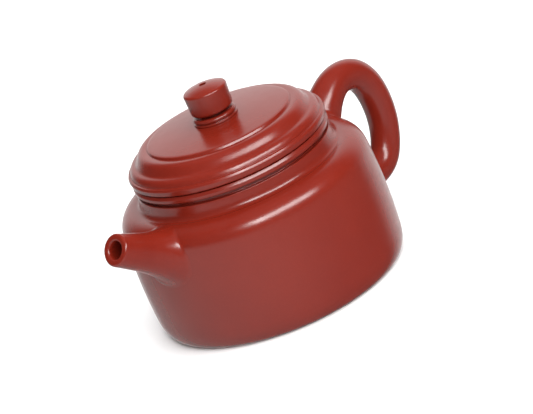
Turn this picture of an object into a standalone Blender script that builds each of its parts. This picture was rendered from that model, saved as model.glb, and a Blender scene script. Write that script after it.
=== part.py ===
"""Yixing clay teapot: a round slab-built pot with a straight spout, an ear handle and a lift-off lid.

Metres, +Z up. The origin is the centre of the flat base. The spout points to -X, the handle to +X.
Neighbouring clay pieces stand CLEAR apart, so that each one is its own closed solid.
"""

import math

import bmesh
import bpy
from mathutils import Vector

MM = 0.001
CLEAR = 0.3 * MM
CLAY = (0.25, 0.032, 0.019)
CLAY_ROUGHNESS = 0.4
SHARP_FROM = math.radians(35)

# Steps round the pot's axis, and round the smaller turned pieces.
ROUND = 48
SMALL_ROUND = 32
SPOUT_ROUND = 28

# Body.
BASE_R = 38.5 * MM
BASE_THICK = 3.2 * MM
WALL = 3.0 * MM
FOOT_R = 41.3 * MM
HEEL_R = 44.7 * MM
HEEL_Z = 8.0 * MM
BELLY_R = 45.15 * MM
BELLY_Z = 21.0 * MM
CORNER_R = 44.35 * MM
CORNER_Z = 38.0 * MM
CORNER_LEAN = math.radians(8)
HEEL_LEAN = math.radians(5)
SHOULDER_R = 37.6 * MM
SHOULDER_Z = 45.2 * MM
SHOULDER_SEAM = math.radians(70)

# Neck: a groove under the mouth ring, a nearly straight side, and a foot that flares onto the shoulder.
GROOVE_R = 33.2 * MM
NECK_TOP_Z = 50.0 * MM
NECK_TOP_R = 34.65 * MM
NECK_WAIST_Z = 47.3 * MM
NECK_WAIST_R = 35.1 * MM
NECK_FLARE_Z = 46.2 * MM
NECK_FLARE_R = 35.6 * MM
NECK_FOOT_R = 36.5 * MM

# Mouth.
MOUTH_R = 30.8 * MM
RING_R = 35.1 * MM
RING_Z = 51.4 * MM
RIM_Z = 53.8 * MM
RING_BEVEL = 1.0 * MM

# Lid.
LIP_Z = 54.1 * MM
LIP_R = 35.0 * MM
LIP_TOP_Z = 57.0 * MM
LIP_TOP_R = 35.4 * MM
LIP_BEVEL = 0.8 * MM
STEP_FOOT_R = 34.2 * MM
STEP_R = 32.4 * MM
STEP_Z = 57.8 * MM
STEP_ROUND = 1.5 * MM
STEP_LEAN = math.radians(15)
COVE_R = 31.1 * MM
COVE_Z = 59.9 * MM
DOME_R = 27.3 * MM
DOME_Z = 60.2 * MM
DOME_ROUND = 3.0 * MM
DOME_LEAN = math.radians(32)
PLATE_R = 25.6 * MM
PLATE_Z = 64.0 * MM
PLATE_THICK = 2.6 * MM
PLATE_RISE = 1.5 * MM
LID_BORE_R = 22.4 * MM
FLANGE_R = 30.1 * MM
FLANGE_THICK = 2.8 * MM
FLANGE_DEPTH = 9.6 * MM

# Knob.
BEAD_R = 7.6 * MM
BEAD_Z = 65.75 * MM
BEAD_HIGH = 2.0 * MM
BEAD_FOOT_R = 7.75 * MM
BEAD_FOOT_HIGH = 0.35 * MM
STEM_R = 4.9 * MM
STEM_BORE_R = 1.2 * MM
KNOB_Z = 68.6 * MM
KNOB_LOW_R = 7.35 * MM
KNOB_TOP_R = 7.75 * MM
KNOB_EDGE_Z = 76.4 * MM
KNOB_DOME = 1.7 * MM
KNOB_ROUND = 0.9 * MM

# Spout: its axis runs through SPOUT_TIP at SPOUT_RISE above the horizontal.
SPOUT_TIP = Vector((-61.9 * MM, 0, 49.8 * MM))
SPOUT_RISE = math.radians(33.4)
SPOUT_LONG = 27.0 * MM
SPOUT_TIP_R = 5.45 * MM
SPOUT_TAPER = 0.085
SPOUT_FLARE_FROM = 10.5 * MM
SPOUT_FLARE = 12.0
SPOUT_BORE_R = 3.0 * MM
SPOUT_BORE_ROOT_R = 5.4 * MM
PASSAGE_R = 4.2 * MM

# Strainer.
STRAINER_R = 7.0 * MM
STRAINER_THICK = 1.5 * MM
STRAINER_HOLE_R = 0.8 * MM
DRILL_LONG = 4 * MM
STRAINER_RINGS = ((0, 1), (27, 6), (54, 11))

# Handle: points (x, z, tube radius) on its centre line in mm, from the shoulder to the lower wall.
HANDLE_POINTS = (
    (37.0, 36.2, 6.9),
    (43.6, 40.0, 6.7),
    (48.2, 45.0, 6.3),
    (56.3, 48.8, 5.6),
    (65.2, 46.9, 5.6),
    (70.4, 38.6, 5.6),
    (70.7, 25.5, 5.4),
    (65.0, 14.1, 5.2),
    (54.5, 11.6, 5.1),
    (40.5, 14.8, 6.0),
)
HANDLE_STEPS = 5


def clear_scene():
    for obj in list(bpy.data.objects):
        bpy.data.objects.remove(obj, do_unlink=True)


def new_collection(name, is_cutter=False):
    made = bpy.data.collections.new(name)
    bpy.context.scene.collection.children.link(made)
    made.hide_render = is_cutter
    return made


def clay(name, colour, roughness):
    made = bpy.data.materials.new(name)
    made.use_nodes = True
    shader = made.node_tree.nodes["Principled BSDF"]
    shader.inputs["Base Color"].default_value = (*colour, 1)
    shader.inputs["Roughness"].default_value = roughness
    shader.inputs["Metallic"].default_value = 0
    return made


def add_object(name, data, collection):
    made = bpy.data.objects.new(name, data)
    collection.objects.link(made)
    if collection.hide_render:
        made.hide_render = True
        made.display_type = "WIRE"
    return made


def finish_piece(obj):
    """Gives a piece its own clay, and shades its round faces smooth."""
    obj.data.materials.append(clay(obj.name + "_clay", CLAY, CLAY_ROUGHNESS))
    if obj.type == "MESH":
        obj.data.shade_smooth()
        obj.data.set_sharp_from_angle(angle=SHARP_FROM)


def arc(centre_r, centre_z, r_axis, z_axis, start, end, count):
    """Points on an elliptical arc, angles in radians from the outward direction."""
    turns = [start + (end - start) * i / count for i in range(count + 1)]
    return [(centre_r + r_axis * math.cos(t), centre_z + z_axis * math.sin(t)) for t in turns]


def turned(name, profile, steps, collection, is_ring):
    """Spins (radius, height) points about +Z. They run down the outer side, and a ring's back up its bore."""
    mesh = bpy.data.meshes.new(name)
    count = len(profile)
    edges = [(i, i + 1) for i in range(count - 1)]
    if is_ring:
        edges.append((count - 1, 0))
    mesh.from_pydata([(r, 0, z) for r, z in profile], edges, [])
    made = add_object(name, mesh, collection)
    screw = made.modifiers.new("turn", "SCREW")
    screw.axis = "Z"
    screw.steps = steps
    screw.render_steps = steps
    screw.use_merge_vertices = True
    screw.merge_threshold = 0.00001
    return made


def baked(obj):
    """Replaces an object's data with its evaluated mesh, so that Booleans work on a plain solid."""
    graph = bpy.context.evaluated_depsgraph_get()
    mesh = bpy.data.meshes.new_from_object(obj.evaluated_get(graph))
    work = bmesh.new()
    work.from_mesh(mesh)
    bmesh.ops.remove_doubles(work, verts=work.verts, dist=0.000001)
    work.to_mesh(mesh)
    work.free()
    made = bpy.data.objects.new(obj.name + "_solid", mesh)
    for collection in obj.users_collection:
        collection.objects.link(made)
    made.location = obj.location.copy()
    made.rotation_euler = obj.rotation_euler.copy()
    made.hide_render = obj.hide_render
    made.display_type = obj.display_type
    name = obj.name
    bpy.data.objects.remove(obj, do_unlink=True)
    made.name = name
    mesh.name = name
    return made


def boolean(obj, cutter, operation):
    step = obj.modifiers.new(cutter.name, "BOOLEAN")
    step.operation = operation
    step.solver = "EXACT"
    step.object = cutter


def outer_side(grow, seam_angle=math.pi / 2):
    """The body's outer profile from seam_angle on the shoulder down to the foot, moved out by grow."""
    corner = shoulder_arc(-grow, seam_angle, CORNER_LEAN, 5)
    heel = arc(FOOT_R, HEEL_Z, HEEL_R - FOOT_R + grow, HEEL_Z + grow, -HEEL_LEAN, -math.pi / 2, 4)
    return corner + belly(grow) + heel


def shoulder_arc(depth, start, end, count):
    """The rounding from wall to shoulder, depth inside the outer face."""
    reach = CORNER_R - SHOULDER_R - depth
    rise = SHOULDER_Z - CORNER_Z - depth
    return arc(SHOULDER_R, CORNER_Z, reach, rise, start, end, count)


def belly(grow):
    """The gentle bulge of the side, on the parabola through the ends of the two roundings."""
    high_r, high_z = shoulder_arc(0, CORNER_LEAN, CORNER_LEAN, 1)[0]
    low_r, low_z = HEEL_R, HEEL_Z
    points = []
    for part in (0.28, 0.55, 0.8):
        z = high_z + (low_z - high_z) * part
        high = (z - BELLY_Z) * (z - low_z) / ((high_z - BELLY_Z) * (high_z - low_z))
        mid = (z - high_z) * (z - low_z) / ((BELLY_Z - high_z) * (BELLY_Z - low_z))
        low = (z - high_z) * (z - BELLY_Z) / ((low_z - high_z) * (low_z - BELLY_Z))
        points.append((high * high_r + mid * BELLY_R + low * low_r + grow, z))
    return points


def inner_side(seam_angle=math.pi / 2, shrink=0.0):
    """The inside of wall and shoulder, from the base plate up to seam_angle."""
    depth = WALL + shrink
    foot_r = BASE_R - shrink
    heel = arc(foot_r, HEEL_Z, HEEL_R - depth - foot_r, HEEL_Z - BASE_THICK - shrink, -math.pi / 2, 0, 3)
    return heel + belly(-depth)[::-1] + shoulder_arc(depth, CORNER_LEAN, seam_angle, 4)


def make_base(parts):
    edge = 0.4 * MM
    rim_r = BASE_R - CLEAR
    profile = [(0, BASE_THICK), (rim_r - edge, BASE_THICK), (rim_r, BASE_THICK - edge)]
    profile += [(rim_r, edge), (rim_r - edge, 0), (0, 0)]
    return turned("base_plate", profile, ROUND, parts, is_ring=False)


def make_wall(parts, cutters):
    profile = outer_side(0, SHOULDER_SEAM) + [(BASE_R, 0)] + inner_side(SHOULDER_SEAM)
    wall = baked(turned("body_wall", profile, ROUND, parts, is_ring=True))
    rod = [(0, 3 * WALL), (PASSAGE_R, 3 * WALL), (PASSAGE_R, -3 * WALL), (0, -3 * WALL)]
    passage = turned("passage_cutter", rod, SPOUT_ROUND, cutters, is_ring=False)
    place_on_spout_axis(passage, wall_distance())
    boolean(wall, baked(passage), "DIFFERENCE")
    return wall


def make_shoulder(parts):
    """The disc that closes the body. Its outer edge stands CLEAR inside the wall's upper edge."""
    top = [(r - CLEAR * i / 2, z) for i, (r, z) in enumerate(shoulder_arc(0, math.pi / 2, SHOULDER_SEAM, 2))]
    low_r, low_z = shoulder_arc(WALL, SHOULDER_SEAM, SHOULDER_SEAM, 1)[0]
    profile = [(MOUTH_R, SHOULDER_Z)] + top + [(low_r - CLEAR, low_z)]
    profile += [(SHOULDER_R, SHOULDER_Z - WALL), (MOUTH_R, SHOULDER_Z - WALL)]
    return turned("shoulder_plate", profile, ROUND, parts, is_ring=True)


def neck_side(grow):
    """The neck's outer profile below its groove, down to the shoulder, moved out by grow."""
    side = [(NECK_TOP_R, NECK_TOP_Z), (NECK_WAIST_R, NECK_WAIST_Z), (NECK_FLARE_R, NECK_FLARE_Z)]
    side.append((NECK_FOOT_R, SHOULDER_Z + CLEAR))
    return [(r + grow, z) for r, z in side]


def make_neck(parts):
    high = RING_Z - CLEAR
    profile = [(MOUTH_R, high), (GROOVE_R, high), (GROOVE_R, NECK_TOP_Z)]
    profile += neck_side(0) + [(MOUTH_R, SHOULDER_Z + CLEAR)]
    return turned("neck", profile, ROUND, parts, is_ring=True)


def make_mouth_ring(parts):
    """A flat ring whose upper edge is worked to a soft bevel, and whose lower edge is rounded."""
    low = RING_Z + RING_BEVEL / 2
    bevel = [(RING_R - 0.6 * RING_BEVEL, RIM_Z), (RING_R, RIM_Z - RING_BEVEL)]
    foot = [(RING_R, low), (RING_R - 0.4 * RING_BEVEL, RING_Z)]
    profile = [(MOUTH_R, RIM_Z)] + bevel + foot + [(MOUTH_R, RING_Z)]
    return turned("mouth_ring", profile, ROUND, parts, is_ring=True)


def make_lid_rim(parts):
    """The flat bottom ring of the lid, its upper edge bevelled and its lower edge rounded."""
    profile = [(LID_BORE_R, LIP_TOP_Z), (LIP_TOP_R - 0.5 * LIP_BEVEL, LIP_TOP_Z)]
    profile += [(LIP_TOP_R, LIP_TOP_Z - LIP_BEVEL), (LIP_R, LIP_Z + 0.6 * LIP_BEVEL)]
    profile += [(LIP_R - 0.5 * LIP_BEVEL, LIP_Z), (LID_BORE_R, LIP_Z)]
    return turned("lid_rim", profile, ROUND, parts, is_ring=True)


def make_lid_dome(parts):
    """A high rounded step under the plate's edge, a cove, and a low rounded step down to the lip."""
    top_r = PLATE_R + CLEAR
    seat_z = PLATE_Z - PLATE_THICK - CLEAR
    foot_z = LIP_TOP_Z + CLEAR
    high_step = arc(DOME_R, DOME_Z, DOME_ROUND, DOME_ROUND, math.pi / 2, DOME_LEAN, 4)
    low_step = arc(STEP_R, STEP_Z, STEP_ROUND, STEP_ROUND, math.pi / 2, STEP_LEAN, 4)
    profile = [(LID_BORE_R, seat_z), (top_r, seat_z), (top_r, DOME_Z + DOME_ROUND)] + high_step
    profile += [(COVE_R, COVE_Z)] + low_step + [(STEP_FOOT_R, foot_z), (LID_BORE_R, foot_z)]
    return turned("lid_dome", profile, ROUND, parts, is_ring=True)


def plate_height(r):
    """The lid plate's gently domed top."""
    return PLATE_Z + PLATE_RISE * (1 - (r / PLATE_R) ** 2)


def make_lid_plate(parts):
    """The gently domed disc, its upper edge bevelled."""
    edge = 0.5 * MM
    bevel_r = PLATE_R - edge / 2
    top = [(r, plate_height(r)) for r in (STEM_BORE_R, 8 * MM, 16 * MM, bevel_r)]
    profile = top + [(PLATE_R, PLATE_Z - edge), (PLATE_R, PLATE_Z - PLATE_THICK)]
    profile += [(STEM_BORE_R, PLATE_Z - PLATE_THICK)]
    return turned("lid_plate", profile, ROUND, parts, is_ring=True)


def make_lid_flange(parts):
    high = LIP_Z - CLEAR
    low = high - FLANGE_DEPTH
    edge = 0.6 * MM
    profile = [(FLANGE_R - FLANGE_THICK, high), (FLANGE_R, high), (FLANGE_R, low + edge)]
    profile += [(FLANGE_R - edge, low), (FLANGE_R - FLANGE_THICK, low)]
    return turned("lid_flange", profile, ROUND, parts, is_ring=True)


def make_knob_bead(parts):
    """A thick round bead whose foot spreads in a thin ring on the lid plate."""
    half = BEAD_HIGH / 2
    outer = arc(BEAD_R - half, BEAD_Z + half, half, half, math.pi / 2, -math.pi / 4, 5)
    bore = STEM_R + CLEAR
    foot = [(BEAD_FOOT_R, BEAD_Z + BEAD_FOOT_HIGH / 2), (BEAD_FOOT_R, BEAD_Z)]
    profile = [(bore, BEAD_Z + BEAD_HIGH)] + outer + foot + [(bore, BEAD_Z)]
    return turned("knob_bead", profile, SMALL_ROUND, parts, is_ring=True)


def make_knob_stem(parts):
    low = plate_height(STEM_BORE_R) + CLEAR
    high = KNOB_Z - CLEAR
    profile = [(STEM_BORE_R, high), (STEM_R, high), (STEM_R, low), (STEM_BORE_R, low)]
    return turned("knob_stem", profile, SMALL_ROUND, parts, is_ring=True)


def make_knob(parts):
    """A drum that widens upwards, with a domed top, rounded edges and the vent through it."""
    edge = KNOB_ROUND
    top_z = KNOB_EDGE_Z + KNOB_DOME
    dome = [(KNOB_TOP_R * part, top_z - KNOB_DOME * part**2) for part in (0.4, 0.7, 0.9)]
    side = [(KNOB_TOP_R - 0.25 * edge, KNOB_EDGE_Z), (KNOB_TOP_R, KNOB_EDGE_Z - 0.7 * edge)]
    side.append((KNOB_LOW_R, KNOB_Z + edge))
    foot = [(KNOB_LOW_R - 0.3 * edge, KNOB_Z + 0.3 * edge), (KNOB_LOW_R - edge, KNOB_Z)]
    profile = [(STEM_BORE_R, top_z)] + dome + side + foot + [(STEM_BORE_R, KNOB_Z)]
    return turned("knob", profile, SMALL_ROUND, parts, is_ring=True)


def spout_axis():
    return Vector((-math.cos(SPOUT_RISE), 0, math.sin(SPOUT_RISE)))


def wall_distance():
    """How far along its axis, from the tip, the spout meets the middle of the wall."""
    return (-SPOUT_TIP.x - (CORNER_R - WALL / 2)) / math.cos(SPOUT_RISE)


def place_on_spout_axis(obj, distance):
    """Puts an object's origin on the spout's axis, its +Z towards the tip."""
    obj.location = SPOUT_TIP - spout_axis() * distance
    obj.rotation_euler = spout_axis().to_track_quat("Z", "Y").to_euler()


def spout_radius(distance):
    """The spout's outer radius at a distance from the tip: a straight taper, then a flare."""
    flare = max(distance - SPOUT_FLARE_FROM, 0)
    return SPOUT_TIP_R + SPOUT_TAPER * distance + SPOUT_FLARE * flare**2


def make_spout(parts, body_cutter):
    lip = 1.0 * MM
    outer = [(SPOUT_TIP_R - 0.3 * lip, -0.3 * lip), (spout_radius(lip), -lip)]
    outer += [(spout_radius(d), -d) for d in (SPOUT_FLARE_FROM, 15 * MM, 18 * MM, 21 * MM, 24 * MM, SPOUT_LONG)]
    bore = [(SPOUT_BORE_ROOT_R, -SPOUT_LONG), (SPOUT_BORE_R, -lip), (SPOUT_BORE_R + 0.5 * lip, 0)]
    profile = [(SPOUT_TIP_R - lip, 0)] + outer + bore
    spout = turned("spout", profile, SPOUT_ROUND, parts, is_ring=True)
    place_on_spout_axis(spout, 0)
    spout = baked(spout)
    boolean(spout, body_cutter, "DIFFERENCE")
    return spout


def make_strainer(parts, cutters):
    """A perforated dome on the inside of the wall, over the passage to the spout."""
    inside = inner_side(shrink=CLEAR)[::-1]
    room = turned("room_cutter", [(0, inside[0][1])] + inside + [(0, inside[-1][1])], ROUND, cutters, is_ring=False)
    outer = arc(0, 0, STRAINER_R, STRAINER_R, math.pi / 2, -math.pi / 4, 9)
    inner_r = STRAINER_R - STRAINER_THICK
    inner = arc(0, 0, inner_r, inner_r, -math.pi / 4, math.pi / 2, 9)
    dome = turned("strainer", outer + inner, SPOUT_ROUND, parts, is_ring=False)
    distance = wall_distance() + WALL / 2 / math.cos(SPOUT_RISE)
    dome.location = SPOUT_TIP - spout_axis() * distance
    dome.rotation_euler = (0, math.pi / 2, 0)
    dome = baked(dome)
    boolean(dome, baked(room), "INTERSECT")
    boolean(dome, strainer_drills(cutters, dome.location.copy()), "DIFFERENCE")
    return dome


def strainer_drills(cutters, centre):
    """Thin radial rods about the dome's +X pole, in one mesh."""
    work = bmesh.new()
    for tilt, count in STRAINER_RINGS:
        for i in range(count):
            turn = 2 * math.pi * i / count
            away = math.radians(tilt)
            way = Vector((math.cos(away), math.sin(away) * math.sin(turn), math.sin(away) * math.cos(turn)))
            drill = bmesh.ops.create_cone(
                work, cap_ends=True, segments=8, radius1=STRAINER_HOLE_R, radius2=STRAINER_HOLE_R, depth=DRILL_LONG
            )
            bmesh.ops.rotate(work, verts=drill["verts"], matrix=way.to_track_quat("Z", "Y").to_matrix())
            bmesh.ops.translate(work, verts=drill["verts"], vec=way * (STRAINER_R - STRAINER_THICK / 2))
    mesh = bpy.data.meshes.new("strainer_drills")
    work.to_mesh(mesh)
    work.free()
    made = add_object("strainer_drills", mesh, cutters)
    made.location = centre
    return made


def handle_line():
    """Points (x, z, tube radius) in metres along a smooth curve through HANDLE_POINTS."""
    before = 2 * Vector(HANDLE_POINTS[0]) - Vector(HANDLE_POINTS[1])
    after = 2 * Vector(HANDLE_POINTS[-1]) - Vector(HANDLE_POINTS[-2])
    knots = [before] + [Vector(p) for p in HANDLE_POINTS] + [after]
    spans = len(HANDLE_POINTS) - 1
    line = []
    for i in range(spans * HANDLE_STEPS + 1):
        span = min(i // HANDLE_STEPS, spans - 1)
        t = i / HANDLE_STEPS - span
        a, b, c, d = knots[span : span + 4]
        bend = (2 * a - 5 * b + 4 * c - d) * t**2 + (3 * b - 3 * c + d - a) * t**3
        line.append((b + ((c - a) * t + bend) / 2) * MM)
    return line


def make_handle(parts, body_cutter):
    curve = bpy.data.curves.new("handle", "CURVE")
    curve.dimensions = "3D"
    curve.bevel_depth = MM
    curve.bevel_resolution = 3
    curve.use_fill_caps = True
    line = handle_line()
    spline = curve.splines.new("POLY")
    spline.points.add(len(line) - 1)
    for point, (x, z, tube_r) in zip(spline.points, line):
        point.co = (x, 0, z, 1)
        point.radius = tube_r / MM
    handle = baked(add_object("handle", curve, parts))
    boolean(handle, body_cutter, "DIFFERENCE")
    return handle


def main():
    clear_scene()
    parts = new_collection("teapot")
    cutters = new_collection("cutters", is_cutter=True)
    solid = [(0, NECK_TOP_Z)] + neck_side(CLEAR) + outer_side(CLEAR) + [(0, -CLEAR)]
    body_cutter = baked(turned("body_cutter", solid, ROUND, cutters, is_ring=False))
    made = [make_base(parts), make_wall(parts, cutters), make_shoulder(parts), make_neck(parts)]
    made += [make_mouth_ring(parts), make_lid_rim(parts), make_lid_dome(parts), make_lid_plate(parts)]
    made += [make_lid_flange(parts), make_knob_bead(parts), make_knob_stem(parts), make_knob(parts)]
    made += [make_spout(parts, body_cutter), make_strainer(parts, cutters), make_handle(parts, body_cutter)]
    for obj in made:
        finish_piece(obj)


main()
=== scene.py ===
"""Looks for the clay teapot: turned and modelled pieces over the CAD frame, red clay on them,
a paper floor and studio light."""

import math

import bmesh
import bpy
import numpy as np
from mathutils import Matrix, Vector


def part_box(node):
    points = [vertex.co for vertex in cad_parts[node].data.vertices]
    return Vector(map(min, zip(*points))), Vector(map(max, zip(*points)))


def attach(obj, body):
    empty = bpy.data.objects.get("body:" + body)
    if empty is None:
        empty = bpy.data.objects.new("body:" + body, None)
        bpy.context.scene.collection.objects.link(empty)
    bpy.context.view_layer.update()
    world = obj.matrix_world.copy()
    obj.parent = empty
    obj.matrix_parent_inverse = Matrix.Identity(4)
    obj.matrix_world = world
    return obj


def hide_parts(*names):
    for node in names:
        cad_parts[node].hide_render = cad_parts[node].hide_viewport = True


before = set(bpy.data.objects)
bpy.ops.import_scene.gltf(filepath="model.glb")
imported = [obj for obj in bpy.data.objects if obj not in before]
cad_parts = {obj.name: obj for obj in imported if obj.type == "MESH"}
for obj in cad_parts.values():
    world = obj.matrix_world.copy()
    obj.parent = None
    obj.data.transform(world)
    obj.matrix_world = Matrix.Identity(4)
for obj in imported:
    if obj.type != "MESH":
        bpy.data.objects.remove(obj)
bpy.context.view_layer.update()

MM = 0.001

# Corners of the boxes of the CAD solids, low and high.
BASE_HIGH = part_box("base_plate")[1]
WALL_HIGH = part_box("body_wall")[1]
SHOULDER_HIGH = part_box("shoulder_plate")[1]
RING_LOW, RING_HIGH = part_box("mouth_ring")
LIP_LOW, LIP_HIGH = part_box("lid_rim")
DOME_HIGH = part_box("lid_dome")[1]
PLATE_LOW, PLATE_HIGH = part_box("lid_plate")
FLANGE_LOW, FLANGE_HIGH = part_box("lid_flange")
BEAD_LOW, BEAD_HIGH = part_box("knob_bead")
STEM_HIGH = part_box("knob_stem")[1]
KNOB_LOW, KNOB_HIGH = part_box("knob")

# Body.
WALL = 3.0 * MM
BASE_THICK = BASE_HIGH.z
SHOULDER_Z = SHOULDER_HIGH.z
SHOULDER_R = 37.6 * MM
CORNER_R = 44.35 * MM
CORNER_Z = 38.0 * MM
CORNER_LEAN = math.radians(8)
BELLY_R = WALL_HIGH.x
BELLY_Z = 21.0 * MM
HEEL_R = 44.7 * MM
HEEL_Z = 8.0 * MM
HEEL_LEAN = math.radians(5)
FOOT_R = 41.3 * MM
FOOT_IN_R = 38.5 * MM
RECESS = 0.7 * MM
OUTER_SOFT = 1.0 * MM
INNER_SOFT = 1.3 * MM

# Neck: a groove under the ring, then a side that runs out onto the shoulder through these points, in mm.
MOUTH_R = 30.8 * MM
GROOVE_R = 33.2 * MM
GROOVE_Z = 50.0 * MM
NECK_R = 34.65 * MM
NECK_FOOT = ((35.05, 47.1), (35.25, 46.4), (35.6, 45.7), (36.1, 45.3), (36.9, 45.17), (37.5, 45.2))
NECK_SOFT = 0.3 * MM
NECK_REACH = 0.6 * MM

# Mouth ring.
RING_R = RING_HIGH.x
RING_Z = RING_LOW.z
RIM_Z = RING_HIGH.z
RING_BEVEL = 0.6 * MM
RING_BEVEL_LOW = 1.0 * MM

# Lid.
LIP_Z = LIP_LOW.z
LIP_TOP_Z = LIP_HIGH.z
LIP_TOP_R = LIP_HIGH.x
LIP_R = LIP_TOP_R - 0.4 * MM
LIP_BEVEL = 0.4 * MM
LIP_BEVEL_LOW = 0.9 * MM
STEP_FOOT_R = DOME_HIGH.x
STEP_TOP_R = 33.45 * MM
STEP_TOP_Z = 59.25 * MM
STEP_ROUND = 1.9 * MM
COVE_R = 31.35 * MM
COVE_Z = 59.5 * MM
COVE_ROUND = 0.7 * MM
DOME_TOP_R = 29.0 * MM
DOME_TOP_Z = 63.25 * MM
DOME_ROUND = 3.0 * MM
LID_SOFT = 0.35 * MM
PLATE_R = PLATE_HIGH.x
PLATE_SEAT_R = PLATE_R - 0.8 * MM
PLATE_Z = 64.0 * MM
PLATE_RISE = 1.5 * MM
LID_BORE_R = 22.4 * MM
LID_ROOF_Z = PLATE_LOW.z
FLANGE_R = FLANGE_HIGH.x
FLANGE_IN_R = FLANGE_R - 2.8 * MM
FLANGE_ROUND = 0.9 * MM

# Knob.
VENT_R = 1.2 * MM
STEM_R = STEM_HIGH.x
BEAD_R = 7.6 * MM
BEAD_TOP_Z = BEAD_HIGH.z
BEAD_FOOT_R = BEAD_HIGH.x
BEAD_FOOT_HIGH = 0.2 * MM
KNOB_Z = KNOB_LOW.z
KNOB_TOP_R = KNOB_HIGH.x
KNOB_LOW_R = KNOB_TOP_R - 0.4 * MM
KNOB_DOME = 1.7 * MM
KNOB_EDGE_Z = KNOB_HIGH.z - KNOB_DOME
KNOB_TOP_ROUND = 0.95 * MM
KNOB_LOW_ROUND = 1.1 * MM

# Spout: distances run from the tip down its axis, and its flare to the wall grows with their square.
SPOUT_TIP = Vector((-61.9 * MM, 0, 49.8 * MM))
SPOUT_RISE = math.radians(33.4)
SPOUT_AXIS = Vector((-math.cos(SPOUT_RISE), 0, math.sin(SPOUT_RISE)))
SPOUT_LONG = 27.0 * MM
SPOUT_TIP_R = 5.45 * MM
SPOUT_TAPER = 0.085
SPOUT_FLARE_FROM = 10.5 * MM
SPOUT_FLARE = 12.0
SPOUT_FULLER_ABOVE = 0.25
SPOUT_FULLER_BESIDE = 0.5
SPOUT_BORE_R = 3.0 * MM
SPOUT_BORE_ROOT_R = 5.4 * MM
SPOUT_LIP = 3 * MM
SPOUT_LIP_ROUND = 0.9 * MM
SPOUT_WALL_AT = (-SPOUT_TIP.x - (CORNER_R - WALL / 2)) / math.cos(SPOUT_RISE)
SPOUT_ROOT_BACK = 1.0 * MM
SPOUT_ROOT_SPREAD = 0.8 * MM
SPOUT_ROOT_LIFT = 0.1 * MM
PASSAGE_R = 4.2 * MM
PASSAGE_HALF = 9 * MM

# Where a tube runs into the skin: how far the fillet is pulled to the corner, and its hidden end.
ROOT_PULL = 0.6
ROOT_DEPTH = 1.2 * MM

# Strainer: rings of holes as (tilt from its middle in degrees, number of holes).
STRAINER_R = 7.0 * MM
STRAINER_THICK = 1.5 * MM
STRAINER_HOLE_R = 0.8 * MM
STRAINER_DRILL = 4 * MM
STRAINER_RINGS = ((0, 1), (27, 6), (54, 11))

# Handle, in mm: points (x, z, tube radius) on its centre line, from the shoulder to the lower wall.
HANDLE_POINTS = (
    (37.0, 36.2, 6.9),
    (43.6, 40.0, 6.7),
    (48.2, 45.0, 6.3),
    (56.3, 48.8, 5.6),
    (65.2, 46.9, 5.6),
    (70.4, 38.6, 5.6),
    (70.7, 25.5, 5.4),
    (65.0, 14.1, 5.2),
    (54.5, 11.6, 5.1),
    (40.5, 14.8, 6.0),
)
HANDLE_STEP = 0.25
HANDLE_SOFT = 2.0
HANDLE_ROOT_BACK = 2.6
HANDLE_ROOT_SPREAD = 2.2 * MM
HANDLE_SPAN_STEPS = 40
HANDLE_TUBE_STEPS = 150

# How finely the pieces are turned and cut.
TURN_STEPS = 224
SMALL_STEPS = 144
SPOUT_STEPS = 128
SPOUT_SIDE_STEPS = 22
PASSAGE_STEPS = 64
HANDLE_STEPS = 96
STRAINER_STEPS = 96
ROUND_STEP = 0.16
LEAST_TURN = 0.01
SAME_PLACE = 0.004 * MM
ON_AXIS = 1e-7
SHARP_FROM = math.radians(40)

# Clay: darkest and lightest base colour, what sand grains multiply it by, its sheen and its fine bump.
CLAY_DARK = (0.139, 0.0098, 0.0044)
CLAY_LIGHT = (0.151, 0.0116, 0.0054)
SAND_DARK = (0.97, 0.97, 0.97)
SAND_LIGHT = (1.08, 1.1, 1.1)
CLAY_ROUGHNESS = (0.2, 0.26)
CLAY_IOR = 1.52
BUMP_STRENGTH = 0.18
BUMP_HEIGHT = 0.06 * MM

# Paper sheet.
PAPER = (0.86, 0.86, 0.86, 1)
PAPER_ROUGHNESS = 0.7
PAPER_HALF = 4.0
PAPER_GAP = 0.05 * MM

# Camera: the point it faces, in metres, then its direction and roll in degrees and its distance in metres.
LOOK_AT = Vector((10.59 * MM, 5.86 * MM, 24.69 * MM))
CAMERA_AZIMUTH = -130.5
CAMERA_ELEVATION = 20.168
CAMERA_ROLL = -22.316
CAMERA_DISTANCE = 1.2
CAMERA_LENS = 236.398

# Softboxes: azimuth and elevation in degrees, distance, width and height in metres, radiance, and whether
# the clay reflects them.
LIGHTS = {
    "key": (-103, 36, 1.2, 1.25, 0.38, 12.5, True),
    "side": (-134, 34, 1.2, 0.36, 0.4, 5, True),
    "overhead": (0, 80, 1.5, 2.4, 2.4, 2.7, False),
    "fill": (-178, 25, 1.2, 1.0, 1.0, 0.8, False),
}
LIT_CENTRE = Vector((0, 0, 45 * MM))

# The bright backdrop and the lit paper as seen from the pot: their directions, the cosines between which
# their glow grows, and how bright they are.
BACKDROP_WAY = (0.809, 0.588, 0)
BACKDROP_EDGE = (0.6, 0.83)
BACKDROP_GLOW = (0.08, 1.08)
PAPER_WAY = (-0.966, 0.259, 0)
PAPER_EDGE = (-1.0, 0.94)
PAPER_GLOW = (0.07, 0.92)
UP = (0, 0, 1)
HORIZON = (0.03, -0.1)


# ---------------------------------------------------------------- lines


def direction(azimuth, elevation):
    """The unit vector towards an azimuth and an elevation in degrees."""
    a, e = math.radians(azimuth), math.radians(elevation)
    return Vector((math.cos(e) * math.cos(a), math.cos(e) * math.sin(a), math.sin(e)))


def arc(centre_r, centre_z, r_axis, z_axis, start, end, count):
    """Points on an elliptical arc, angles in radians from the outward direction."""
    turns = [start + (end - start) * i / count for i in range(count + 1)]
    return [(centre_r + r_axis * math.cos(t), centre_z + z_axis * math.sin(t)) for t in turns]


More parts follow.
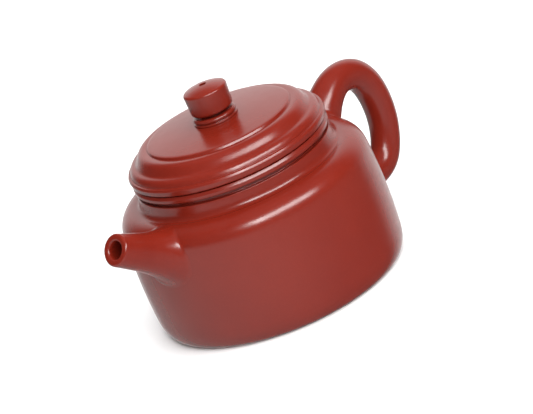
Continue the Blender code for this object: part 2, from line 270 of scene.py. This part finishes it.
def rounded(corners):
    """A line through (radius, height, fillet) corners, each corner rounded by its fillet."""
    line = []
    for i, (r, z, fillet) in enumerate(corners):
        if fillet <= 0 or i in (0, len(corners) - 1):
            line.append((r, z))
        else:
            line += fillet_arc(corners[i - 1], (r, z), corners[i + 1], fillet)
    return line


def fillet_arc(before, corner, after, fillet):
    """Points of the arc that touches both sides of a corner."""
    here = Vector(corner)
    back = (Vector(before[:2]) - here).normalized()
    ahead = (Vector(after[:2]) - here).normalized()
    turn = math.pi - back.angle(ahead)
    if turn < LEAST_TURN:
        return [corner]
    reach = fillet * math.tan(turn / 2)
    centre = here + (back + ahead).normalized() * (fillet / math.cos(turn / 2))
    start = here + back * reach - centre
    side = 1 if start.y * back.x - start.x * back.y > 0 else -1
    count = max(4, math.ceil(turn / ROUND_STEP))
    points = []
    for k in range(count + 1):
        cos, sin = math.cos(side * turn * k / count), math.sin(side * turn * k / count)
        points.append((centre.x + start.x * cos - start.y * sin, centre.y + start.x * sin + start.y * cos))
    return points


def resampled(line, step):
    """The same line with its long stretches cut to pieces no longer than step."""
    dense = [line[0]]
    for (r0, z0), (r1, z1) in zip(line, line[1:]):
        count = max(1, math.ceil(math.hypot(r1 - r0, z1 - z0) / step))
        dense += [(r0 + (r1 - r0) * k / count, z0 + (z1 - z0) * k / count) for k in range(1, count + 1)]
    return [p for i, p in enumerate(dense) if i == 0 or math.dist(p, dense[i - 1]) > SAME_PLACE]


def smoothed(points, reach, step):
    """Rows spaced evenly by step along their first two values and averaged over reach, the two ends held."""
    run = np.concatenate([[0], np.cumsum(np.linalg.norm(np.diff(points[:, :2], axis=0), axis=1))])
    even = np.linspace(0, run[-1], int(run[-1] / step) + 1)
    columns = range(points.shape[1])
    points = np.stack([np.interp(even, run, points[:, k]) for k in columns], axis=1)
    width = int(3 * reach / step)
    kernel = np.exp(-0.5 * (np.arange(-width, width + 1) * step / reach) ** 2)
    kernel /= kernel.sum()
    head = 2 * points[0] - points[1 : width + 1][::-1]
    tail = 2 * points[-1] - points[-width - 1 : -1][::-1]
    padded = np.concatenate([head, points, tail])
    return np.stack([np.convolve(padded[:, k], kernel, "valid") for k in columns], axis=1)


def softened(line, reach, step=0.2 * MM):
    """The line evenly resampled and smoothed over reach, with its two ends held."""
    return [tuple(p) for p in smoothed(np.array(resampled(line, step / 4)), reach, step)]


def thinned(line, step):
    """The points of a fine line that are at least step from the last one kept, and its two ends."""
    kept = [line[0]]
    for p in line[1:-1]:
        if math.dist(p, kept[-1]) >= step:
            kept.append(p)
    return kept + [line[-1]]


# ---------------------------------------------------------------- body profile


def shoulder_arc(depth, start, end, count):
    """The quarter round from the shoulder's flat to the side, that far under the skin."""
    r_axis = CORNER_R - SHOULDER_R - depth
    z_axis = SHOULDER_Z - CORNER_Z - depth
    return arc(SHOULDER_R, CORNER_Z, r_axis, z_axis, start, end, count)


def belly(grow, count=24):
    """The gentle bulge of the side, on the parabola through the ends of the two roundings."""
    high_r, high_z = shoulder_arc(0, CORNER_LEAN, CORNER_LEAN, 1)[0]
    points = []
    for k in range(1, count):
        z = high_z + (HEEL_Z - high_z) * k / count
        high = (z - BELLY_Z) * (z - HEEL_Z) / ((high_z - BELLY_Z) * (high_z - HEEL_Z))
        mid = (z - high_z) * (z - HEEL_Z) / ((BELLY_Z - high_z) * (BELLY_Z - HEEL_Z))
        low = (z - high_z) * (z - BELLY_Z) / ((HEEL_Z - high_z) * (HEEL_Z - BELLY_Z))
        points.append((high * high_r + mid * BELLY_R + low * HEEL_R + grow, z))
    return points


def outer_line():
    """The body's outer side from the top of the shoulder down to the foot."""
    corner = [(NECK_R, SHOULDER_Z)] + shoulder_arc(0, math.pi / 2, CORNER_LEAN, 60)
    heel = arc(FOOT_R, HEEL_Z, HEEL_R - FOOT_R, HEEL_Z, -HEEL_LEAN, -math.pi / 2, 40)
    return softened(corner + belly(0) + heel, OUTER_SOFT)


def inner_line():
    """The inside, from the edge of the floor up to the underside of the shoulder."""
    heel = arc(FOOT_IN_R, HEEL_Z, HEEL_R - WALL - FOOT_IN_R, HEEL_Z - BASE_THICK, -math.pi / 2, 0, 20)
    corner = shoulder_arc(WALL, CORNER_LEAN, math.pi / 2, 40)
    return softened(heel + belly(-WALL)[::-1] + corner, INNER_SOFT)


OUTER = outer_line()
OUTER_TABLE = np.array(OUTER)[::-1]
OUTER_TABLE = OUTER_TABLE[np.argsort(OUTER_TABLE[:, 1], kind="stable")]


def neck_line(shoulder_point):
    """From the mouth over the groove under the ring, down the neck and out onto the shoulder."""
    foot = [(r * MM, z * MM) for r, z in NECK_FOOT]
    groove = rounded(
        [
            (MOUTH_R, RING_Z, 0),
            (GROOVE_R, RING_Z, 0),
            (GROOVE_R, GROOVE_Z, 0.3 * MM),
            (NECK_R, GROOVE_Z, 0.2 * MM),
            (*foot[0], 0),
        ]
    )
    return groove + thinned(softened(foot + [shoulder_point], NECK_SOFT, 0.1 * MM), 0.25 * MM)[1:]


def foot_line():
    """The flat ring that the pot stands on and the shallow recess inside it."""
    return rounded(
        [
            (FOOT_R - 0.5 * MM, 0, 0),
            (FOOT_IN_R - 1.2 * MM, 0, 0.5 * MM),
            (FOOT_IN_R - 2 * MM, RECESS, 0.7 * MM),
            (0, RECESS, 0),
        ]
    )


def mouth_bore():
    return rounded(
        [
            (SHOULDER_R, SHOULDER_Z - WALL, 0),
            (MOUTH_R, SHOULDER_Z - WALL, 0.8 * MM),
            (MOUTH_R, RING_Z, 0),
        ]
    )


def body_profile():
    flat = next(i for i, (r, _) in enumerate(OUTER) if r > SHOULDER_R + NECK_REACH)
    outer = neck_line(OUTER[flat]) + thinned(OUTER[flat + 1 :], 0.5 * MM) + foot_line()
    inner = thinned([(0, BASE_THICK)] + inner_line(), 1.2 * MM) + mouth_bore()
    return resampled(outer, 0.9 * MM) + resampled(inner, 1.6 * MM)


# ---------------------------------------------------------------- meshes


def add_object(name, mesh):
    made = bpy.data.objects.new(name, mesh)
    bpy.context.scene.collection.objects.link(made)
    return made


def add_mesh(name, verts, faces):
    mesh = bpy.data.meshes.new(name)
    mesh.from_pydata([tuple(float(x) for x in v) for v in verts], [], faces)
    mesh.validate()
    mesh.shade_smooth()
    return add_object(name, mesh)


def turned(name, profile, steps=TURN_STEPS, closed=True):
    """Spins (radius, height) points about +Z. They run down the outer side, and a closed profile's
    back up its bore. An open one starts and ends on the axis."""
    verts, rows = [], []
    for r, z in profile:
        if r < ON_AXIS:
            rows.append([len(verts)] * steps)
            verts.append((0, 0, z))
            continue
        rows.append(list(range(len(verts), len(verts) + steps)))
        turns = np.arange(steps) * (2 * math.pi / steps)
        verts += list(zip(r * np.cos(turns), r * np.sin(turns), np.full(steps, z)))
    if closed:
        rows.append(rows[0])
    faces = []
    for high, low in zip(rows, rows[1:]):
        for j in range(steps):
            k = (j + 1) % steps
            ring = [high[j], low[j], low[k], high[k]]
            face = [v for i, v in enumerate(ring) if v not in ring[:i]]
            if len(face) > 2:
                faces.append(face)
    return add_mesh(name, verts, faces)


def skin(name, columns):
    """An open tube from columns of points, one column for each step round it, facing out."""
    steps, rows = len(columns), len(columns[0])
    verts = [p for column in columns for p in column]
    faces = []
    for j in range(steps):
        k = (j + 1) % steps
        for i in range(rows - 1):
            faces.append([j * rows + i, k * rows + i, k * rows + i + 1, j * rows + i + 1])
    made = add_mesh(name, verts, faces)
    work = bmesh.new()
    work.from_mesh(made.data)
    bmesh.ops.recalc_face_normals(work, faces=work.faces)
    work.to_mesh(made.data)
    work.free()
    made.data.shade_smooth()
    made.data.set_sharp_from_angle(angle=SHARP_FROM)
    return made


def cut(obj, cutters):
    """Applies (cutter, Boolean operation) pairs to an object and removes the cutters."""
    for cutter, operation in cutters:
        step = obj.modifiers.new(cutter.name, "BOOLEAN")
        step.operation = operation
        step.solver = "EXACT"
        step.object = cutter
    graph = bpy.context.evaluated_depsgraph_get()
    mesh = bpy.data.meshes.new_from_object(obj.evaluated_get(graph))
    obj.modifiers.clear()
    obj.data = mesh
    mesh.shade_smooth()
    for cutter, _ in cutters:
        bpy.data.objects.remove(cutter, do_unlink=True)


# ---------------------------------------------------------------- roots on the body


def is_inside(p):
    """Whether a point is under the skin of the body's outer side."""
    skin_r = float(np.interp(p.z, OUTER_TABLE[:, 1], OUTER_TABLE[:, 0]))
    return p.z < SHOULDER_Z and math.hypot(p.x, p.y) < skin_r


def on_body(p):
    """(nearest point of the body's outer side, its outward normal)."""
    r = math.hypot(p.x, p.y)
    near = int(np.argmin((OUTER_TABLE[:, 0] - r) ** 2 + (OUTER_TABLE[:, 1] - p.z) ** 2))
    low, high = OUTER_TABLE[max(near - 2, 0)], OUTER_TABLE[min(near + 2, len(OUTER_TABLE) - 1)]
    along = Vector((high[0] - low[0], high[1] - low[1])).normalized()
    here = Vector(OUTER_TABLE[near])
    here += along * (Vector((r, p.z)) - here).dot(along)
    out = Vector((along.y, -along.x))
    way = Vector((p.x / r, p.y / r, 0))
    return way * here.x + Vector((0, 0, here.y)), (way * out.x + Vector((0, 0, out.y))).normalized()


def crossing(surface, outside, inside):
    """The parameter at which surface(t) goes into the body, found by halving."""
    for _ in range(40):
        middle = (outside + inside) / 2
        if is_inside(surface(middle)):
            inside = middle
        else:
            outside = middle
    return (outside + inside) / 2


def root_fillet(start, meet, axis_point, spread, lift, count=9):
    """Points of a fillet from start, on a tube, to the body's skin at spread beyond meet, where they cross.
    A last point lies just under the skin."""
    _, normal = on_body(meet)
    away = meet - axis_point
    away = (away - normal * away.dot(normal)).normalized()
    end, end_normal = on_body(meet + away * spread)
    first = start.lerp(meet, ROOT_PULL)
    last = end.lerp(meet, ROOT_PULL) + end_normal * lift
    points = []
    for k in range(1, count + 1):
        t = k / count
        a, b, c, d = (1 - t) ** 3, 3 * t * (1 - t) ** 2, 3 * t * t * (1 - t), t**3
        points.append(start * a + first * b + last * c + end * d)
    points[-1] = points[-1] + end_normal * 0.01 * MM
    points.append(end - end_normal * ROOT_DEPTH + away * 0.1 * MM)
    return points


# ---------------------------------------------------------------- pot pieces


def spout_frame(distance):
    """The matrix that puts the origin on the spout's axis and +Z towards its tip."""
    turn = SPOUT_AXIS.to_track_quat("Z", "Y").to_matrix().to_4x4()
    return Matrix.Translation(SPOUT_TIP - SPOUT_AXIS * distance) @ turn


def make_body():
    body = turned("pot_body", body_profile())
    side = [(PASSAGE_R, PASSAGE_HALF), (PASSAGE_R, -PASSAGE_HALF)]
    rod_profile = [(0, PASSAGE_HALF)] + side + [(0, -PASSAGE_HALF)]
    rod = turned("passage", rod_profile, PASSAGE_STEPS, closed=False)
    rod.data.transform(spout_frame(SPOUT_WALL_AT))
    cut(body, [(rod, "DIFFERENCE")])
    return body


def make_mouth_ring():
    """A rounded ring whose upper edge is worked down to a soft bevel."""
    low = RING_Z - 0.05 * MM
    profile = rounded(
        [
            (MOUTH_R, RING_Z + 1 * MM, 0),
            (MOUTH_R, RIM_Z, 0.5 * MM),
            (RING_R - RING_BEVEL, RIM_Z, 0.3 * MM),
            (RING_R, RIM_Z - RING_BEVEL_LOW, 0.5 * MM),
            (RING_R - 0.1 * MM, RING_Z, 0.5 * MM),
            (GROOVE_R - 0.3 * MM, RING_Z, 0),
            (GROOVE_R - 0.4 * MM, low, 0),
            (MOUTH_R, low, 0),
        ]
    )
    return turned("pot_mouth_ring", resampled(profile, 0.7 * MM))


def spout_radius(distance, way=Vector()):
    """The outer radius, whose flare is fuller above and at the sides than below."""
    flare = SPOUT_FLARE * max(distance - SPOUT_FLARE_FROM, 0) ** 2
    fuller = 1 + SPOUT_FULLER_ABOVE * way.z + SPOUT_FULLER_BESIDE * way.y**2
    return SPOUT_TIP_R + SPOUT_TAPER * distance + flare * fuller


def spout_lip_profile():
    """(radius, distance) points from the bore's root out over the lip to the start of the outer side."""
    corners = [
        (SPOUT_BORE_ROOT_R, SPOUT_LONG, 0),
        (SPOUT_BORE_R, 1.6 * MM, 3 * MM),
        (SPOUT_BORE_R + 0.1 * MM, 0, SPOUT_LIP_ROUND),
        (SPOUT_TIP_R + SPOUT_TAPER * 0.3 * MM, 0, SPOUT_LIP_ROUND),
        (spout_radius(SPOUT_LIP), SPOUT_LIP, 0),
    ]
    return resampled(rounded(corners), 1.2 * MM)


def make_spout():
    turn = spout_frame(0).to_3x3()
    u, v = turn.col[0].copy(), turn.col[1].copy()
    lip = spout_lip_profile()
    columns = []
    for j in range(SPOUT_STEPS):
        a = 2 * math.pi * j / SPOUT_STEPS
        way = u * math.cos(a) + v * math.sin(a)

        def surface(d):
            return SPOUT_TIP - SPOUT_AXIS * d + way * spout_radius(d, way)

        meet = crossing(surface, SPOUT_LIP, SPOUT_LONG + 2 * SPOUT_LIP)
        start = meet - SPOUT_ROOT_BACK
        span = start - SPOUT_LIP
        column = [SPOUT_TIP - SPOUT_AXIS * d + way * r for r, d in lip]
        for k in range(1, SPOUT_SIDE_STEPS + 1):
            column.append(surface(SPOUT_LIP + span * k / SPOUT_SIDE_STEPS))
        centre = SPOUT_TIP - SPOUT_AXIS * meet
        column += root_fillet(surface(start), surface(meet), centre, SPOUT_ROOT_SPREAD, SPOUT_ROOT_LIFT)
        columns.append(column)
    return skin("pot_spout", columns)


def make_strainer():
    """A perforated dome on the inside of the wall, over the passage to the spout."""
    side = thinned(inner_line(), 0.8 * MM)[::-1]
    room = turned("room", [(0, SHOULDER_Z - WALL)] + side + [(0, BASE_THICK)], closed=False)
    inner_r = STRAINER_R - STRAINER_THICK
    outer = [(0, STRAINER_R)] + arc(0, 0, STRAINER_R, STRAINER_R, math.pi / 2, -math.pi / 4, 40)[1:]
    inner = arc(0, 0, inner_r, inner_r, -math.pi / 4, math.pi / 2, 40)[:-1] + [(0, inner_r)]
    dome = turned("pot_strainer", outer + inner, STRAINER_STEPS, closed=False)
    middle = SPOUT_WALL_AT + WALL / 2 / math.cos(SPOUT_RISE)
    place = Matrix.Translation(SPOUT_TIP - SPOUT_AXIS * middle)
    dome.data.transform(place @ Matrix.Rotation(math.pi / 2, 4, "Y"))
    cut(dome, [(room, "INTERSECT"), (strainer_drills(place), "DIFFERENCE")])
    dome.data.set_sharp_from_angle(angle=SHARP_FROM)
    return dome


def strainer_drills(place):
    """One mesh with a rod for each hole, on rings round the dome's middle."""
    work = bmesh.new()
    for tilt, count in STRAINER_RINGS:
        away = math.radians(tilt)
        for i in range(count):
            turn = 2 * math.pi * i / count
            way = Vector((math.cos(away), math.sin(away) * math.sin(turn), math.sin(away) * math.cos(turn)))
            drill = bmesh.ops.create_cone(
                work,
                cap_ends=True,
                segments=20,
                radius1=STRAINER_HOLE_R,
                radius2=STRAINER_HOLE_R,
                depth=STRAINER_DRILL,
            )
            bmesh.ops.rotate(work, verts=drill["verts"], matrix=way.to_track_quat("Z", "Y").to_matrix())
            bmesh.ops.translate(work, verts=drill["verts"], vec=way * (STRAINER_R - STRAINER_THICK / 2))
    mesh = bpy.data.meshes.new("strainer_drills")
    work.to_mesh(mesh)
    work.free()
    mesh.transform(place)
    return add_object("strainer_drills", mesh)


def handle_line():
    """Evenly spaced, smoothed points (x, z, tube radius) in metres along the handle's centre line."""
    points = [Vector(p) for p in HANDLE_POINTS]
    knots = [2 * points[0] - points[1]] + points + [2 * points[-1] - points[-2]]
    fine = []
    for a, b, c, d in zip(knots, knots[1:], knots[2:], knots[3:]):
        for k in range(HANDLE_SPAN_STEPS):
            t = k / HANDLE_SPAN_STEPS
            bend = (2 * a - 5 * b + 4 * c - d) * t**2 + (3 * b - 3 * c + d - a) * t**3
            fine.append(b + ((c - a) * t + bend) / 2)
    fine.append(points[-1])
    return smoothed(np.array([tuple(p) for p in fine]), HANDLE_SOFT, HANDLE_STEP) * MM


def make_handle():
    line = handle_line()
    last = len(line) - 1
    back = HANDLE_ROOT_BACK / HANDLE_STEP

    def centre(t):
        """(point, direction, tube radius) at a place counted in steps along the centre line."""
        i = min(max(int(t), 0), last - 1)
        x, z, r = line[i] + (line[i + 1] - line[i]) * (t - i)
        before, after = line[max(i - 2, 0)], line[min(i + 3, last)]
        along = Vector((after[0] - before[0], 0, after[1] - before[1])).normalized()
        return Vector((x, 0, z)), along, r

    columns = []
    for j in range(HANDLE_STEPS):
        a = 2 * math.pi * j / HANDLE_STEPS

        def surface(t):
            middle, along, r = centre(t)
            side = Vector((along.z, 0, -along.x))
            return middle + side * (r * math.cos(a)) + Vector((0, r * math.sin(a), 0))

        def root(meet, start):
            return root_fillet(surface(start), surface(meet), centre(meet)[0], HANDLE_ROOT_SPREAD, 0)

        high = crossing(surface, last / 4, 0)
        low = crossing(surface, last * 3 / 4, last)
        span = low - back - high - back
        tube = [surface(high + back + span * k / HANDLE_TUBE_STEPS) for k in range(HANDLE_TUBE_STEPS + 1)]
        columns.append(root(high, high + back)[::-1] + tube + root(low, low - back))
    return skin("pot_handle", columns)


# ---------------------------------------------------------------- lid pieces


def lid_side():
    """From the top plate's edge over the dome, the cove and the step down to the lip."""
    return softened(
        rounded(
            [
                (PLATE_SEAT_R, PLATE_Z - 0.8 * MM, 0),
                (DOME_TOP_R, DOME_TOP_Z, DOME_ROUND),
                (COVE_R, COVE_Z, COVE_ROUND),
                (STEP_TOP_R, STEP_TOP_Z, STEP_ROUND),
                (STEP_FOOT_R, LIP_TOP_Z + 0.3 * MM, 0),
            ]
        ),
        LID_SOFT,
        0.1 * MM,
    )


def make_lid():
    """Lip, the two convex steps with a cove between, and the hollow underneath."""
    side = lid_side()
    hidden_r = VENT_R + 2 * MM
    hidden_z = LID_ROOF_Z + 1 * MM
    lip = rounded(
        [
            (*side[-1], 0),
            (STEP_FOOT_R + 0.05 * MM, LIP_TOP_Z, 0.25 * MM),
            (LIP_TOP_R - LIP_BEVEL, LIP_TOP_Z - 0.05 * MM, 0.2 * MM),
            (LIP_TOP_R, LIP_TOP_Z - LIP_BEVEL_LOW, 0.5 * MM),
            (LIP_R, LIP_Z, 0.8 * MM),
            (FLANGE_R - 1 * MM, LIP_Z, 0),
            (LID_BORE_R, LIP_Z, 0.6 * MM),
            (LID_BORE_R, LID_ROOF_Z, 1.5 * MM),
            (hidden_r, LID_ROOF_Z, 0),
            (hidden_r, hidden_z, 0),
            (PLATE_SEAT_R, hidden_z, 0),
        ]
    )
    return turned("lid_shell", resampled(thinned(side, 0.35 * MM) + lip[1:], 1.0 * MM))


def plate_height(r):
    return PLATE_Z + PLATE_RISE * (1 - (r / PLATE_R) ** 2)


def make_lid_plate():
    """The slightly domed disc with a fine bevelled edge and the vent through its middle."""
    top = [(r * MM, plate_height(r * MM)) for r in np.linspace(2.0, 25.0, 28)]
    edge = rounded(
        [
            (*top[-1], 0),
            (PLATE_R - 0.1 * MM, PLATE_Z - 0.1 * MM, 0.25 * MM),
            (PLATE_R + 0.35 * MM, PLATE_Z - 0.9 * MM, 0.3 * MM),
            (PLATE_R + 0.3 * MM, PLATE_Z - 1.5 * MM, 0),
        ]
    )
    vent = rounded([(VENT_R, LID_ROOF_Z, 0), (VENT_R, plate_height(VENT_R), 0.3 * MM), (*top[0], 0)])
    low = rounded(
        [
            (PLATE_R, LID_ROOF_Z + 0.5 * MM, 0),
            (LID_BORE_R - 2 * MM, LID_ROOF_Z + 0.5 * MM, 0),
            (LID_BORE_R - 2.2 * MM, LID_ROOF_Z, 0),
            (VENT_R + 0.3 * MM, LID_ROOF_Z, 0.3 * MM),
            (VENT_R, LID_ROOF_Z + 0.4 * MM, 0),
        ]
    )
    return turned("lid_top_plate", resampled(vent[1:] + top[1:] + edge[1:] + low, 1.0 * MM))


def make_flange():
    """The collar that holds the lid in the mouth, with rounded lower edges."""
    high = FLANGE_HIGH.z + 0.5 * MM
    low = FLANGE_LOW.z
    profile = rounded(
        [
            (FLANGE_R, high, 0),
            (FLANGE_R, low, FLANGE_ROUND),
            (FLANGE_IN_R, low, FLANGE_ROUND),
            (FLANGE_IN_R, high, 0),
        ]
    )
    return turned("lid_inner_flange", resampled(profile, 1.0 * MM))


def make_bead():
    """The thick round bead at the stem's foot, with a thin ring below it on the plate."""
    half = (BEAD_TOP_Z - BEAD_LOW.z - BEAD_FOOT_HIGH) / 2
    outer = arc(BEAD_R - half, BEAD_TOP_Z - half, half, half, math.pi / 2, -1.1, 18)
    inner_r = STEM_R - 0.5 * MM
    low = BEAD_LOW.z - 0.4 * MM
    foot = rounded(
        [
            (*outer[-1], 0),
            (BEAD_FOOT_R, BEAD_LOW.z + 0.15 * MM, 0.25 * MM),
            (BEAD_FOOT_R + 0.1 * MM, low, 0),
        ]
    )
    profile = [(inner_r, BEAD_TOP_Z)] + outer + foot[1:] + [(inner_r, low)]
    return turned("lid_knob_bead", resampled(profile, 0.5 * MM), SMALL_STEPS)


def make_stem():
    low = plate_height(STEM_R) - 0.2 * MM
    high = KNOB_Z + 0.3 * MM
    profile = [(VENT_R, high), (STEM_R, high), (STEM_R, low), (VENT_R, low)]
    return turned("lid_knob_stem", resampled(profile, 0.5 * MM), SMALL_STEPS)


def knob_height(r):
    return KNOB_EDGE_Z + KNOB_DOME * (1 - (r / KNOB_TOP_R) ** 2)


def make_knob():
    """A drum that widens upwards, with a domed top, rounded edges and the vent through it."""
    dome = [(r * MM, knob_height(r * MM)) for r in np.linspace(2, 6.6, 12)]
    vent = rounded([(VENT_R, KNOB_Z, 0), (VENT_R, KNOB_EDGE_Z + KNOB_DOME, 0.2 * MM), (*dome[0], 0)])
    side = rounded(
        [
            (*dome[-1], 0),
            (KNOB_TOP_R, KNOB_EDGE_Z + 0.1 * MM, KNOB_TOP_ROUND),
            (KNOB_LOW_R, KNOB_Z, KNOB_LOW_ROUND),
            (STEM_R - 1 * MM, KNOB_Z, 0),
            (VENT_R, KNOB_Z, 0),
        ]
    )
    return turned("lid_knob", resampled(vent[1:] + dome[1:] + side[1:-1], 0.5 * MM), SMALL_STEPS)


# ---------------------------------------------------------------- materials


def map_range(tree, source, start, end, low, high):
    """The source with the span from start to end taken onto low to high."""
    one = tree.nodes.new("ShaderNodeMapRange")
    tree.links.new(source, one.inputs["Value"])
    for socket, value in (("From Min", start), ("From Max", end), ("To Min", low), ("To Max", high)):
        one.inputs[socket].default_value = value
    return one.outputs["Result"]


def noise(tree, place, scale, detail, roughness):
    one = tree.nodes.new("ShaderNodeTexNoise")
    tree.links.new(place, one.inputs["Vector"])
    for socket, value in (("Scale", scale), ("Detail", detail), ("Roughness", roughness)):
        one.inputs[socket].default_value = value
    return one.outputs["Fac"]


def colour_ramp(tree, source, stops):
    one = tree.nodes.new("ShaderNodeValToRGB")
    tree.links.new(source, one.inputs["Fac"])
    while len(one.color_ramp.elements) < len(stops):
        one.color_ramp.elements.new(0.5)
    for element, (at, colour) in zip(one.color_ramp.elements, stops):
        element.position = at
        element.color = (*colour, 1)
    return one.outputs["Color"]


def multiplied(tree, a, b):
    mix = tree.nodes.new("ShaderNodeMix")
    mix.data_type = "RGBA"
    mix.blend_type = "MULTIPLY"
    mix.inputs["Factor"].default_value = 1
    tree.links.new(a, mix.inputs[6])
    tree.links.new(b, mix.inputs[7])
    return mix.outputs[2]


def clay_material():
    """Burnished red clay: cloudy base colour, sand grains, uneven sheen and a fine bump."""
    made = bpy.data.materials.new("red_clay")
    made.use_nodes = True
    tree = made.node_tree
    shader = tree.nodes["Principled BSDF"]
    shader.inputs["IOR"].default_value = CLAY_IOR
    place = tree.nodes.new("ShaderNodeTexCoord").outputs["Object"]

    clouds = noise(tree, place, scale=45, detail=3, roughness=0.5)
    cloud = colour_ramp(tree, clouds, [(0.3, CLAY_DARK), (0.7, CLAY_LIGHT)])
    grains = noise(tree, place, scale=1500, detail=2, roughness=0.6)
    sand = colour_ramp(tree, grains, [(0.2, SAND_DARK), (0.5, (1, 1, 1)), (0.8, SAND_LIGHT)])
    tree.links.new(multiplied(tree, cloud, sand), shader.inputs["Base Color"])

    rubbed = noise(tree, place, scale=260, detail=3, roughness=0.6)
    sheen = map_range(tree, rubbed, 0.3, 0.7, *CLAY_ROUGHNESS)
    tree.links.new(sheen, shader.inputs["Roughness"])

    bump = tree.nodes.new("ShaderNodeBump")
    bump.inputs["Strength"].default_value = BUMP_STRENGTH
    bump.inputs["Distance"].default_value = BUMP_HEIGHT
    tree.links.new(noise(tree, place, scale=1100, detail=3, roughness=0.55), bump.inputs["Height"])
    tree.links.new(bump.outputs["Normal"], shader.inputs["Normal"])
    return made


def paper_floor():
    """A wide white sheet just under the foot, left out of the reflections."""
    half = PAPER_HALF
    corners = [(-half, -half, 0), (half, -half, 0), (half, half, 0), (-half, half, 0)]
    floor = add_mesh("floor", corners, [[0, 1, 2, 3]])
    floor.location.z = -PAPER_GAP
    made = bpy.data.materials.new("floor_paper")
    made.use_nodes = True
    shader = made.node_tree.nodes["Principled BSDF"]
    shader.inputs["Base Color"].default_value = PAPER
    shader.inputs["Roughness"].default_value = PAPER_ROUGHNESS
    floor.data.materials.append(made)
    floor.visible_glossy = False


# ---------------------------------------------------------------- camera and light


def make_camera():
    data = bpy.data.cameras.new("camera")
    data.sensor_width = 36
    data.lens = CAMERA_LENS
    data.clip_start = 0.01
    data.clip_end = 50
    way = direction(CAMERA_AZIMUTH, CAMERA_ELEVATION)
    turn = way.to_track_quat("Z", "Y").to_matrix().to_4x4()
    roll = Matrix.Rotation(math.radians(CAMERA_ROLL), 4, "Z")
    made = add_object("camera", data)
    made.matrix_world = Matrix.Translation(LOOK_AT + way * CAMERA_DISTANCE) @ turn @ roll
    bpy.context.scene.camera = made


def make_light(name, azimuth, elevation, distance, width, height, radiance, reflects):
    """A rectangular softbox that faces the pot from a direction, as bright as radiance."""
    data = bpy.data.lights.new(name, "AREA")
    data.shape = "RECTANGLE"
    data.size = width
    data.size_y = height
    data.energy = radiance * math.pi * width * height
    way = direction(azimuth, elevation)
    made = add_object(name, data)
    made.location = LIT_CENTRE + way * distance
    made.rotation_euler = (-way).to_track_quat("-Z", "Y").to_euler()
    made.visible_glossy = reflects


def make_world():
    """A dim studio, bright towards the white backdrop behind the pot, with the paper's glow from below."""
    world = bpy.data.worlds.new("studio")
    bpy.context.scene.world = world
    world.use_nodes = True
    tree = world.node_tree
    back = tree.nodes["Background"]
    place = tree.nodes.new("ShaderNodeTexCoord").outputs["Generated"]

    def facing(way):
        one = tree.nodes.new("ShaderNodeVectorMath")
        one.operation = "DOT_PRODUCT"
        one.inputs[1].default_value = way
        tree.links.new(place, one.inputs[0])
        return one.outputs["Value"]

    def combined(operation, a, b):
        one = tree.nodes.new("ShaderNodeMath")
        one.operation = operation
        tree.links.new(a, one.inputs[0])
        tree.links.new(b, one.inputs[1])
        return one.outputs["Value"]

    backdrop = map_range(tree, facing(BACKDROP_WAY), *BACKDROP_EDGE, *BACKDROP_GLOW)
    paper = map_range(tree, facing(PAPER_WAY), *PAPER_EDGE, *PAPER_GLOW)
    below = map_range(tree, facing(UP), *HORIZON, 0.0, 1.0)
    glow = combined("MAXIMUM", backdrop, combined("MULTIPLY", paper, below))
    tree.links.new(glow, back.inputs["Color"])


def main():
    clay = clay_material()
    pieces = (
        ("pot", make_body(), ["base_plate", "body_wall", "shoulder_plate", "neck"], "body_wall_clay"),
        ("pot", make_mouth_ring(), ["mouth_ring"], "mouth_ring_clay"),
        ("pot", make_spout(), ["spout"], "spout_clay"),
        ("pot", make_strainer(), ["strainer"], "strainer_clay"),
        ("pot", make_handle(), ["handle"], "handle_clay"),
        ("lid", make_lid(), ["lid_rim", "lid_dome"], "lid_dome_clay"),
        ("lid", make_lid_plate(), ["lid_plate"], "lid_plate_clay"),
        ("lid", make_flange(), ["lid_flange"], "lid_flange_clay"),
        ("lid", make_bead(), ["knob_bead"], "knob_bead_clay"),
        ("lid", make_stem(), ["knob_stem"], "knob_stem_clay"),
        ("lid", make_knob(), ["knob"], "knob_clay"),
    )
    for body, piece, nodes, slot in pieces:
        piece.data.materials.clear()
        piece.data.materials.append(clay)
        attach(piece, body)
        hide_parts(*nodes)
    paper_floor()
    make_camera()
    make_world()
    for name, values in LIGHTS.items():
        make_light(name, *values)
    bpy.context.scene.view_settings.view_transform = "Standard"


main()
